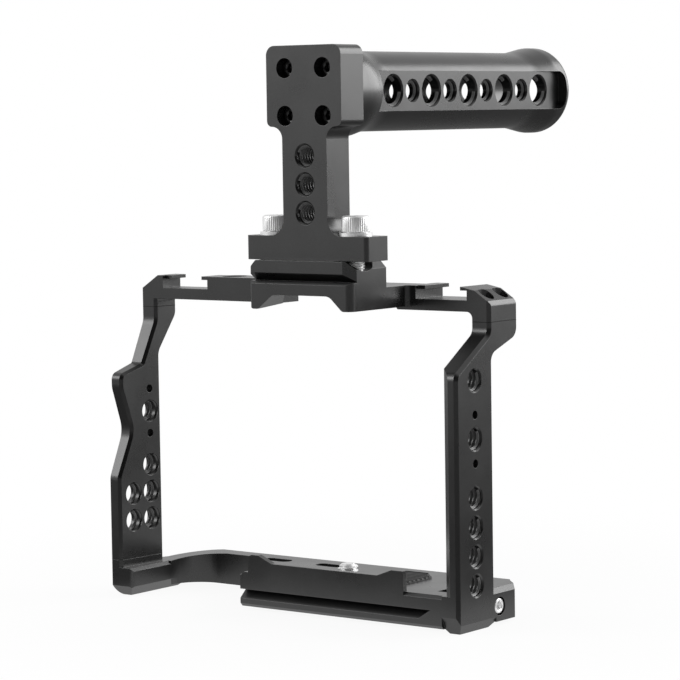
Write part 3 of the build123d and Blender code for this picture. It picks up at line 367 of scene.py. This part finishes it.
wear, wear_in, wear_out = open_group("edge_wear", (("Patch Scale", 180.0),), ("Mask",))
wear_place = add_node(wear, "ShaderNodeTexCoord")
inward = add_node(
    wear, "ShaderNodeAmbientOcclusion", samples=6, inside=True, only_local=True, Distance=WEAR_REACH * MM
)
patches = add_node(wear, "ShaderNodeTexNoise", Detail=5.0, Roughness=0.65)
join(wear, wear_place.outputs["Object"], patches.inputs["Vector"])
join(wear, wear_in.outputs["Patch Scale"], patches.inputs["Scale"])
edge_line = ramp(wear, inward.outputs["AO"], FLAT_FACE, SHARP_EDGE, kind="SMOOTHSTEP")
patch_share = ramp(wear, patches.outputs["Fac"], PATCH_LOW, PATCH_HIGH, PATCH_LEAST)
join(wear, calculate(wear, "MULTIPLY", edge_line, patch_share), wear_out.inputs["Mask"])
print("edge wear group has", len(wear.nodes), "nodes")

# %% [markdown]
# ## Metals and rubber
#
# One function builds each solid finish. It mixes a dark and a light tone by the grain's cloud and
# speckle, lifts the tone on worn edges, varies the roughness, and feeds the dents to a Bump node.
# A Bevel node rounds the normals along edges by a fraction of a millimetre, as deburring does on
# the real plates, so that no edge is a knife. Black anodised aluminium is still a metal: its
# reflections are dark grey, and it has no strong colour of its own. The tapped threads are bare
# cuts, a shade lighter and duller than the skin round them.

# %% Make the finishes
SPECKLE_SHARE = 0.45
CLOUD_SHARE = 0.55


def new_finish(name, dark, light, worn, metallic, rough, rough_spread, dent_scale, dent_depth, edge_round):
    """A material whose tone, gloss and bump come from the shared groups."""
    finish = bpy.data.materials.new(name)
    finish.use_nodes = True
    tree = finish.node_tree
    shader = tree.nodes["Principled BSDF"]
    shader.inputs["Metallic"].default_value = metallic
    grain_node = add_node(tree, "ShaderNodeGroup", node_tree=grain, Dent_Scale=dent_scale)
    wear_node = add_node(tree, "ShaderNodeGroup", node_tree=wear)
    speckle, cloud = grain_node.outputs["Speckle"], grain_node.outputs["Cloud"]
    cloud_part = calculate(tree, "MULTIPLY", cloud, CLOUD_SHARE)
    lightness = calculate(tree, "MULTIPLY_ADD", speckle, SPECKLE_SHARE, cloud_part)
    tone = add_node(tree, "ShaderNodeMix", data_type="RGBA", A=grey(dark), B=grey(light))
    join(tree, lightness, tone.inputs["Factor"])
    edge_tone = add_node(tree, "ShaderNodeMix", data_type="RGBA", B=grey(worn))
    join(tree, tone.outputs["Result"], edge_tone.inputs["A"])
    join(tree, wear_node.outputs["Mask"], edge_tone.inputs["Factor"])
    join(tree, edge_tone.outputs["Result"], shader.inputs["Base Color"])
    gloss = ramp(tree, cloud, 0.0, 1.0, rough - rough_spread, rough + rough_spread)
    join(tree, gloss, shader.inputs["Roughness"])
    rounded = add_node(tree, "ShaderNodeBevel", samples=6, Radius=edge_round * MM)
    bump = add_node(tree, "ShaderNodeBump", Strength=1.0, Distance=dent_depth * MM)
    join(tree, rounded.outputs["Normal"], bump.inputs["Normal"])
    join(tree, grain_node.outputs["Height"], bump.inputs["Height"])
    join(tree, bump.outputs["Normal"], shader.inputs["Normal"])
    print(name, "runs from", dark, "to", light)
    return finish


anodised = new_finish(
    "black_anodised",
    dark=0.064,
    light=0.078,
    worn=0.090,
    metallic=0.92,
    rough=0.29,
    rough_spread=0.03,
    dent_scale=3200.0,
    dent_depth=0.002,
    edge_round=0.14,
)
cut_thread = new_finish(
    "cut_thread",
    dark=0.085,
    light=0.110,
    worn=0.18,
    metallic=0.35,
    rough=0.38,
    rough_spread=0.04,
    dent_scale=3200.0,
    dent_depth=0.001,
    edge_round=0.03,
)
black_oxide = new_finish(
    "black_oxide_steel",
    dark=0.05,
    light=0.08,
    worn=0.22,
    metallic=0.95,
    rough=0.33,
    rough_spread=0.05,
    dent_scale=1500.0,
    dent_depth=0.003,
    edge_round=0.12,
)
bright_steel = new_finish(
    "bright_steel",
    dark=0.88,
    light=0.92,
    worn=0.95,
    metallic=0.62,
    rough=0.30,
    rough_spread=0.03,
    dent_scale=900.0,
    dent_depth=0.0006,
    edge_round=0.05,
)
pad_rubber = new_finish(
    "pad_rubber",
    dark=0.020,
    light=0.034,
    worn=0.05,
    metallic=0.0,
    rough=0.62,
    rough_spread=0.06,
    dent_scale=2600.0,
    dent_depth=0.010,
    edge_round=0.20,
)

# %% [markdown]
# ## Dress the CAD plates
#
# Plates, post, tube, washers and pins keep their CAD meshes: their shape is right already. Only the
# material in each object's slot is exchanged. The finish follows the slot name in the record.

# %% Give every CAD node its finish
FINISH_OF_SLOT = {
    "anodised": anodised,
    "black_steel": black_oxide,
    "bright_steel": bright_steel,
    "rubber": pad_rubber,
}
for name, node in nodes.items():
    for material_slot in node.material_slots:
        slot_name = material_slot.material.name
        print(name, "wears", slot_name)
        for key, finish in FINISH_OF_SLOT.items():
            if key in slot_name:
                material_slot.material = finish

# %% [markdown]
# ## Finishing a new piece
#
# Each new piece is modelled in its own bmesh and then becomes an object at the origin, with its
# place in its vertices.

# %% Helper that turns a bmesh into a piece
MERGE_WITHIN = 0.002


def finish_piece(bm, name, material, body, replaces=(), smooth_angle=35.0):
    """Cleans the mesh, makes the object and registers it with its body."""
    bmesh.ops.remove_doubles(bm, verts=bm.verts, dist=MERGE_WITHIN * MM)
    bmesh.ops.recalc_face_normals(bm, faces=bm.faces)
    for face in bm.faces:
        face.smooth = True
    for edge in bm.edges:
        if len(edge.link_faces) == 2 and edge.calc_face_angle(0) > math.radians(smooth_angle):
            edge.smooth = False
    mesh = bpy.data.meshes.new(name)
    bm.to_mesh(mesh)
    bm.free()
    piece = bpy.data.objects.new(name, mesh)
    mesh.materials.append(material)
    bpy.context.scene.collection.objects.link(piece)
    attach(piece, body)
    if replaces:
        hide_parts(*replaces)
    print(name, "has", len(mesh.polygons), "faces")
    return piece


# %% [markdown]
# ## Threads in the tapped holes
#
# Every round hole along the legs, the post and the handle is tapped, so that arms and lamps can be
# screwed in. A thread is a ridge that climbs round the bore. It could be a Screw modifier on a
# profile, but one spin with a step along the axis draws the same helix and leaves plain mesh. The
# profile is a low trapezoid: wide at the wall, with a narrow flat crest. Where a wall is too thin
# for half a turn, the ridge closes to a ring in the middle of the wall.

# %% Helper that spins one ridge
STEPS_PER_TURN = 28
FEWEST_TURNS = 0.5
RIDGE_SUNK = 0.03
RIDGE_ALONG = (0.04, 0.40, 0.54, 0.90)


def add_ridge(bm, middle, axis, wall_r, pitch, low, high, inward=True, depth_share=0.50):
    """A helical ridge on a wall of radius wall_r, between two places along the axis."""
    side = axis.orthogonal().normalized()
    out = -1.0 if inward else 1.0
    depth = depth_share * pitch
    turns = (high - low - RIDGE_ALONG[-1] * pitch) / pitch
    profile = []
    for along, rise in zip(RIDGE_ALONG, (-RIDGE_SUNK, depth, depth, -RIDGE_SUNK)):
        radius = wall_r + out * rise
        profile.append(bm.verts.new(middle + (axis * (low + along * pitch) + side * radius) * MM))
    edges = [bm.edges.new((profile[i], profile[(i + 1) % 4])) for i in range(4)]
    is_ring = turns < FEWEST_TURNS
    if is_ring:
        bmesh.ops.translate(bm, vec=axis * ((high - low - pitch) / 2) * MM, verts=profile)
        turns = 1.0
        step = Vector((0, 0, 0))
        steps = STEPS_PER_TURN
    else:
        steps = max(4, round(turns * STEPS_PER_TURN))
        step = axis * (turns * pitch / steps) * MM
    spun = bmesh.ops.spin(
        bm,
        geom=profile + edges,
        cent=middle,
        axis=axis,
        dvec=step,
        angle=turns * 2 * math.pi,
        steps=steps,
        use_merge=is_ring,
        use_duplicate=False,
    )
    if not is_ring:
        last = [item for item in spun["geom_last"] if isinstance(item, bmesh.types.BMEdge)]
        for end in (edges, last):
            bmesh.ops.contextual_create(bm, geom=end)


print("a ridge has", STEPS_PER_TURN, "steps a turn")

# %% [markdown]
# The holes are read from the record's mounts, so each ridge lies exactly in its hole. The tube is
# hollow, and its holes run through both walls: each has a ridge in the near wall and another in the
# far one, and none between.

# %% Cut the threads
INCH = 25.4
QUARTER_PITCH = INCH / 20
THREE_EIGHTHS_PITCH = INCH / 16
QUARTER_LARGEST_R = 4.0
THREAD_END_GAP = 0.15
TUBE_NEAR_WALL = 3.1
TUBE_FAR_WALL = 1.6
THREADED_PARTS = {
    "right_leg": "right_leg_threads",
    "left_leg": "left_leg_threads",
    "post": "post_threads",
    "handle": "handle_threads",
    "top_bar": "top_bar_threads",
}

for group_name, piece_name in THREADED_PARTS.items():
    holes = [m for m in mounts if m["kind"] == "threaded_hole" and m["name"].startswith(group_name)]
    bm = bmesh.new()
    for hole in holes:
        wall_r = hole["dims"]["r_mm"]
        half = hole["dims"]["length_mm"] / 2
        pitch = QUARTER_PITCH if wall_r < QUARTER_LARGEST_R else THREE_EIGHTHS_PITCH
        spans = [(-half, half)]
        if group_name == "handle":
            spans = [(-half, -half + TUBE_FAR_WALL), (half - TUBE_NEAR_WALL, half)]
        for low, high in spans:
            ends = (low + THREAD_END_GAP, high - THREAD_END_GAP)
            add_ridge(bm, Vector(hole["pos_m"]), Vector(hole["axis"]), wall_r, pitch, *ends)
    print(piece_name, "in", len(holes), "holes")
    finish_piece(bm, piece_name, cut_thread, "cage", smooth_angle=28.0)

# %% [markdown]
# ## Socket cap screws
#
# A cap screw is turned from bar: a round head with a broken edge, straight ridges round its side
# for the fingers, a pressed hexagonal socket, and a threaded shank below. The screw starts as one
# small disc that is extruded ring by ring. A wave in a ring's radius makes the ridges, and placing a
# ring's vertices on the flats of a hexagon makes the socket, so the whole screw is a single closed
# skin.

# %% Helper that turns one cap screw
def ring_at(bm, ring, radius_of, height):
    """Extrudes a ring of edges and puts its new vertices at a radius and a height."""
    grown = bmesh.ops.extrude_edge_only(bm, edges=ring)["geom"]
    verts = [item for item in grown if isinstance(item, bmesh.types.BMVert)]
    for vert in verts:
        turn = math.atan2(vert.co.y, vert.co.x)
        radius = radius_of(turn) * MM
        vert.co = Vector((radius * math.cos(turn), radius * math.sin(turn), height * MM))
    return [item for item in grown if isinstance(item, bmesh.types.BMEdge) and item.is_boundary]


def round_disc(bm, segments, radius, height):
    """A flat disc at a height, which later rings grow from; hands out its edges."""
    bmesh.ops.create_circle(bm, cap_ends=False, segments=segments, radius=radius * MM)
    rim = list(bm.edges)
    bmesh.ops.contextual_create(bm, geom=rim)
    bmesh.ops.translate(bm, vec=UP * height * MM, verts=bm.verts)
    return rim


def plain(radius):
    """The same radius all round."""
    return lambda turn: radius


def fluted(radius, flutes, depth):
    """A radius with shallow flutes round it."""
    return lambda turn: radius - depth * (0.5 + 0.5 * math.cos(turn * flutes))


def hexagon(across):
    """The radius of a hexagon of a width across flats."""
    sector = math.pi / 3
    return lambda turn: across / 2 / math.cos((turn % sector) - sector / 2)


# %% [markdown]
# The rings below follow the screw from its tip: a chamfered tip, the shank, the head's underside,
# its fluted side, its rounded top edge, the mouth and walls of the socket, and the socket's floor.

# %% Stack the rings of one screw
def cap_screw(bm, seat, axis, shank, head_r, head, key, shank_r, pitch, flutes, flute_depth, round_over):
    """A socket cap screw on its seat point, with its head along the axis."""
    ring = round_disc(bm, flutes * 4, 0.5 * shank_r, -shank)
    core = shank_r - 0.30 * pitch
    for radius_of, height in (
        (plain(core), -shank + 0.5 * shank_r),
        (plain(core), -0.02 * head),
        (plain(head_r - 1.2 * round_over), 0.0),
        (fluted(head_r, flutes, flute_depth), round_over),
        (fluted(head_r, flutes, flute_depth), head - 1.6 * round_over),
        (plain(head_r - 0.35 * round_over), head - 0.75 * round_over),
        (plain(head_r - 0.9 * round_over), head - 0.2 * round_over),
        (plain(head_r - 1.7 * round_over), head),
        (plain(0.60 * key + 0.10), head),
        (hexagon(key), head - 0.22),
        (hexagon(key), 0.45 * head),
        (plain(0.12 * key), 0.38 * head),
    ):
        ring = ring_at(bm, ring, radius_of, height)
    bmesh.ops.contextual_create(bm, geom=ring)
    add_ridge(bm, Vector((0, 0, 0)), UP, core, pitch, -shank + 0.6 * shank_r, -0.4, inward=False)
    aim = UP.rotation_difference(axis).to_matrix().to_4x4()
    bmesh.ops.transform(bm, matrix=Matrix.Translation(seat * MM) @ aim, verts=bm.verts)


def turn_screw(name, axis, size, material, body):
    """Turns the screw that stands for a CAD screw: its head at the top of the node's box."""
    low, high = box_mm(name)
    reach = (high - low).dot(Vector([abs(v) for v in axis]))
    seat = (low + high) / 2 + Vector(axis) * (reach / 2 - size["head"])
    bm = bmesh.new()
    cap_screw(bm, seat, Vector(axis), reach - size["head"], **size)
    finish_piece(bm, name + "_turned", material, body, replaces=(name,))


# %% [markdown]
# ### The two bright screws on the flange
#
# These are the screws one loosens to take the handle off. They are polished stainless steel, the
# lightest thing on the cage. Each turns in its hole, so each rides on its own body.

# %% Turn the flange screws
FLANGE_SCREW = {
    "head_r": 4.25,
    "head": 5.0,
    "key": 4.0,
    "shank_r": 2.45,
    "pitch": 0.8,
    "flutes": 40,
    "flute_depth": 0.14,
    "round_over": 0.45,
}
for name in ("flange_screw_left", "flange_screw_right"):
    turn_screw(name, (0, 0, 1), FLANGE_SCREW, bright_steel, name)

# %% [markdown]
# ### The small screws
#
# Four black screws hold the post to the tube, deep in counterbores, and five more close the seams of
# the legs. They have the same shape at smaller sizes. Their finish is black oxide, a little glossier
# than the anodised plates round them. A bright one with an almost smooth head sits in the rear lug.

# %% Turn the small screws
POST_SCREW = {
    "head_r": 2.75,
    "head": 3.0,
    "key": 2.5,
    "shank_r": 1.5,
    "pitch": 0.5,
    "flutes": 24,
    "flute_depth": 0.07,
    "round_over": 0.25,
}
SEAM_SCREW = {**POST_SCREW, "head_r": 2.1, "head": 2.4, "key": 2.0, "shank_r": 1.25}
LUG_SCREW = {**POST_SCREW, "head_r": 2.4, "head": 2.4, "flute_depth": 0.03, "round_over": 0.3}
BLACK_SCREWS = {
    "post_screw_1": ((0, -1, 0), POST_SCREW),
    "post_screw_2": ((0, -1, 0), POST_SCREW),
    "post_screw_3": ((0, -1, 0), POST_SCREW),
    "post_screw_4": ((0, -1, 0), POST_SCREW),
    "right_leg_screw_front": ((0, 0, 1), SEAM_SCREW),
    "right_leg_screw_rear": ((0, 0, 1), SEAM_SCREW),
    "left_top_screw": ((0, 0, 1), SEAM_SCREW),
    "left_base_screw_front": ((0, 0, -1), SEAM_SCREW),
    "left_base_screw_rear": ((0, 0, -1), SEAM_SCREW),
}
for name, (axis, size) in BLACK_SCREWS.items():
    turn_screw(name, axis, size, black_oxide, "cage")
turn_screw("lug_screw", (1, 0, 0), LUG_SCREW, bright_steel, "cage")

# %% [markdown]
# ### The camera screw
#
# The screw that holds the camera comes up through the floor. Above the floor it is a quarter-inch
# thread with a chamfered tip, and below it is a wide head with a slot for a coin, which stays inside
# its pocket. It is turned from the same bright steel as the flange screws. The CAD stud becomes a
# core with a ridge on it, and the head is one disc whose slot is pressed in from below.

# %% Turn the camera screw
CAMERA_HEAD = 3.0
HEAD_CHAMFER = 0.25
SOLE_SHARE = 0.86
STUD_R = 3.175
STUD_CHAMFER = 0.6
STUD_THREAD_DEPTH = 0.45
STUD_THREAD_GAP = 0.3

screw_low, screw_high = box_mm("camera_screw")
screw_middle = (screw_low + screw_high) / 2
head_r = (screw_high.x - screw_low.x) / 2
head_top = screw_low.z + CAMERA_HEAD
core_r = STUD_R - STUD_THREAD_DEPTH * QUARTER_PITCH

bm = bmesh.new()
ring = round_disc(bm, 64, SOLE_SHARE * head_r, screw_low.z)
for radius, z in (
    (head_r - HEAD_CHAMFER, screw_low.z),
    (head_r, screw_low.z + HEAD_CHAMFER),
    (head_r, head_top - HEAD_CHAMFER),
    (head_r - HEAD_CHAMFER, head_top),
    (core_r, head_top),
    (core_r, screw_high.z - STUD_CHAMFER),
    (core_r - STUD_CHAMFER, screw_high.z),
):
    ring = ring_at(bm, ring, plain(radius), z)
bmesh.ops.contextual_create(bm, geom=ring)
print("the head is", round(2 * head_r, 2), "mm wide, the stud", round(screw_high.z - head_top, 2), "mm long")

# %% [markdown]
# Two cuts across the sole mark the slot's long edges, and the strip between them is pushed up into
# the head. The ridge of the thread goes on last.

# %% Press the coin slot and cut the stud's thread
COIN_SLOT = 1.6
COIN_SLOT_DEPTH = 1.5
ON_SOLE = 1e-7


def sole_faces():
    """The faces that lie in the plane of the head's underside."""
    return [face for face in bm.faces if abs(face.calc_center_median().z - screw_low.z * MM) < ON_SOLE]


for side in (-1, 1):
    cut = sole_faces()
    edges = dict.fromkeys(edge for face in cut for edge in face.edges)
    verts = dict.fromkeys(vert for face in cut for vert in face.verts)
    bmesh.ops.bisect_plane(
        bm,
        geom=cut + list(edges) + list(verts),
        plane_co=(0, side * COIN_SLOT / 2 * MM, 0),
        plane_no=(0, 1, 0),
    )
strip = [min(sole_faces(), key=lambda face: face.calc_center_median().xy.length)]
pressed = bmesh.ops.extrude_face_region(bm, geom=strip)["geom"]
bmesh.ops.delete(bm, geom=strip, context="FACES_ONLY")
pressed_verts = [item for item in pressed if isinstance(item, bmesh.types.BMVert)]
bmesh.ops.translate(bm, vec=(0, 0, COIN_SLOT_DEPTH * MM), verts=pressed_verts)
thread_ends = (head_top + STUD_THREAD_GAP, screw_high.z - STUD_THREAD_GAP)
add_ridge(
    bm,
    Vector((0, 0, 0)),
    UP,
    core_r,
    QUARTER_PITCH,
    *thread_ends,
    inward=False,
    depth_share=STUD_THREAD_DEPTH,
)
bmesh.ops.translate(bm, vec=(screw_middle.x * MM, screw_middle.y * MM, 0), verts=bm.verts)
name = "camera_screw"
finish_piece(bm, name + "_turned", bright_steel, name, replaces=(name,))

# %% [markdown]
# ## The rubber pad
#
# A moulded pad keeps the camera from twisting on its screw. Its back right corner is cut off, and
# rounded ribs run across it. Each rib is a block whose top edges are bevelled into a half round, and
# the rearmost ribs are shorter, because the cut corner takes their right ends.

# %% Mould the pad's sheet
PAD_BASE = 1.0
PAD_CORNER = 3.6

pad_low, pad_high = box_mm("rubber_pad")
corner_y = pad_high.y - PAD_CORNER
corners = (
    (pad_low.x, pad_low.y),
    (pad_high.x, pad_low.y),
    (pad_high.x, corner_y),
    (pad_high.x - PAD_CORNER, pad_high.y),
    (pad_low.x, pad_high.y),
)
bm = bmesh.new()
outline = [bm.verts.new((x * MM, y * MM, pad_low.z * MM)) for x, y in corners]
sheet = bmesh.ops.contextual_create(bm, geom=outline)["faces"]
raised = bmesh.ops.extrude_face_region(bm, geom=sheet)["geom"]
raised_verts = [item for item in raised if isinstance(item, bmesh.types.BMVert)]
bmesh.ops.translate(bm, vec=(0, 0, PAD_BASE * MM), verts=raised_verts)
print("the pad is", round(pad_high.x - pad_low.x, 2), "by", round(pad_high.y - pad_low.y, 2), "mm")

# %% Mould its ribs
RIB_PITCH = 2.2
RIB_WIDTH = 1.3
RIB_ROUND = 0.35
RIB_SUNK = 0.2
MOULD_GAP = 0.02
ON_TOP = 1e-6

rib_height = pad_high.z - pad_low.z - PAD_BASE + RIB_SUNK
rib_count = int((pad_high.y - pad_low.y) / RIB_PITCH) + 1
for k in range(rib_count):
    y0 = pad_low.y + k * RIB_PITCH
    y1 = min(y0 + RIB_WIDTH, pad_high.y)
    lost = max(0.0, y1 - corner_y)
    x0 = pad_low.x + MOULD_GAP
    x1 = pad_high.x - lost - MOULD_GAP
    middle = Vector(((x0 + x1) / 2, (y0 + y1) / 2, pad_high.z - rib_height / 2))
    rib = bmesh.ops.create_cube(bm, size=MM)["verts"]
    bmesh.ops.scale(bm, vec=(x1 - x0, y1 - y0 - 2 * MOULD_GAP, rib_height), verts=rib)
    bmesh.ops.translate(bm, vec=middle * MM, verts=rib)
    top_edges = [
        edge
        for vert in rib
        for edge in vert.link_edges
        if all(abs(end.co.z - pad_high.z * MM) < ON_TOP for end in edge.verts)
    ]
    bmesh.ops.bevel(
        bm,
        geom=list(dict.fromkeys(top_edges)),
        offset=RIB_ROUND * MM,
        segments=3,
        profile=0.5,
        affect="EDGES",
        material=-1,
    )
print("ribs on the pad:", rib_count)
pad = finish_piece(bm, "rubber_pad_moulded", pad_rubber, "cage", replaces=("rubber_pad",))

# %% [markdown]
# ## Painted shade in the seams
#
# The left leg is a plate of its own, and the right leg grows out of the floor. Where they meet the
# floor and the top bar, the narrow gap of the joint lies in shade and shows as a hair of black. That
# shade is painted: a thin slice of the leg's own mesh at the seam, pushed outwards by a hundredth of a
# millimetre and given a near black finish, draws the shadow as a line. It is cut from a merged copy,
# so the CAD meshes stay as they are.

# %% Paint the shade in the seams
SEAM_HALF = 0.09
SEAM_PROUD = 0.015

# A near black finish that paints the shade in the seams' gaps, not a colour of the metal.
seam_painted_shade = new_finish(
    "seam_shadow",
    dark=0.004,
    light=0.008,
    worn=0.008,
    metallic=0.0,
    rough=0.80,
    rough_spread=0.05,
    dent_scale=3200.0,
    dent_depth=0.001,
    edge_round=0.02,
)


def paint_seam_shade(name, node, z, side_x):
    """A slice round one seam, painted near black as the shade in its gap: the node's section at height z, on
    the side of the given sign.
    """
    bm = bmesh.new()
    bm.from_mesh(nodes[node].data)
    bmesh.ops.remove_doubles(bm, verts=bm.verts, dist=MERGE_WITHIN * MM)
    for side in (-1, 1):
        bmesh.ops.bisect_plane(
            bm,
            geom=list(bm.verts) + list(bm.edges) + list(bm.faces),
            plane_co=(0, 0, (z + side * SEAM_HALF) * MM),
            plane_no=(0, 0, side),
            clear_outer=True,
        )
    spare = [face for face in bm.faces if side_x * face.calc_center_median().x <= 0]
    bmesh.ops.delete(bm, geom=spare, context="FACES")
    bm.normal_update()
    for vert in bm.verts:
        flat = Vector((vert.normal.x, vert.normal.y, 0))
        if flat.length > 0:
            vert.co += flat.normalized() * SEAM_PROUD * MM
    # The slice carries the painted seam shade.
    finish_piece(bm, name, seam_painted_shade, "cage")


left_low, left_high = box_mm("left_leg")
right_seam_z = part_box("base_frame")[1][2] / MM
paint_seam_shade("left_top_seam", "left_leg", left_high.z - SEAM_HALF, -1)
paint_seam_shade("left_base_seam", "left_leg", left_low.z + SEAM_HALF, -1)
paint_seam_shade("right_seam", "base_frame", right_seam_z - SEAM_HALF, 1)
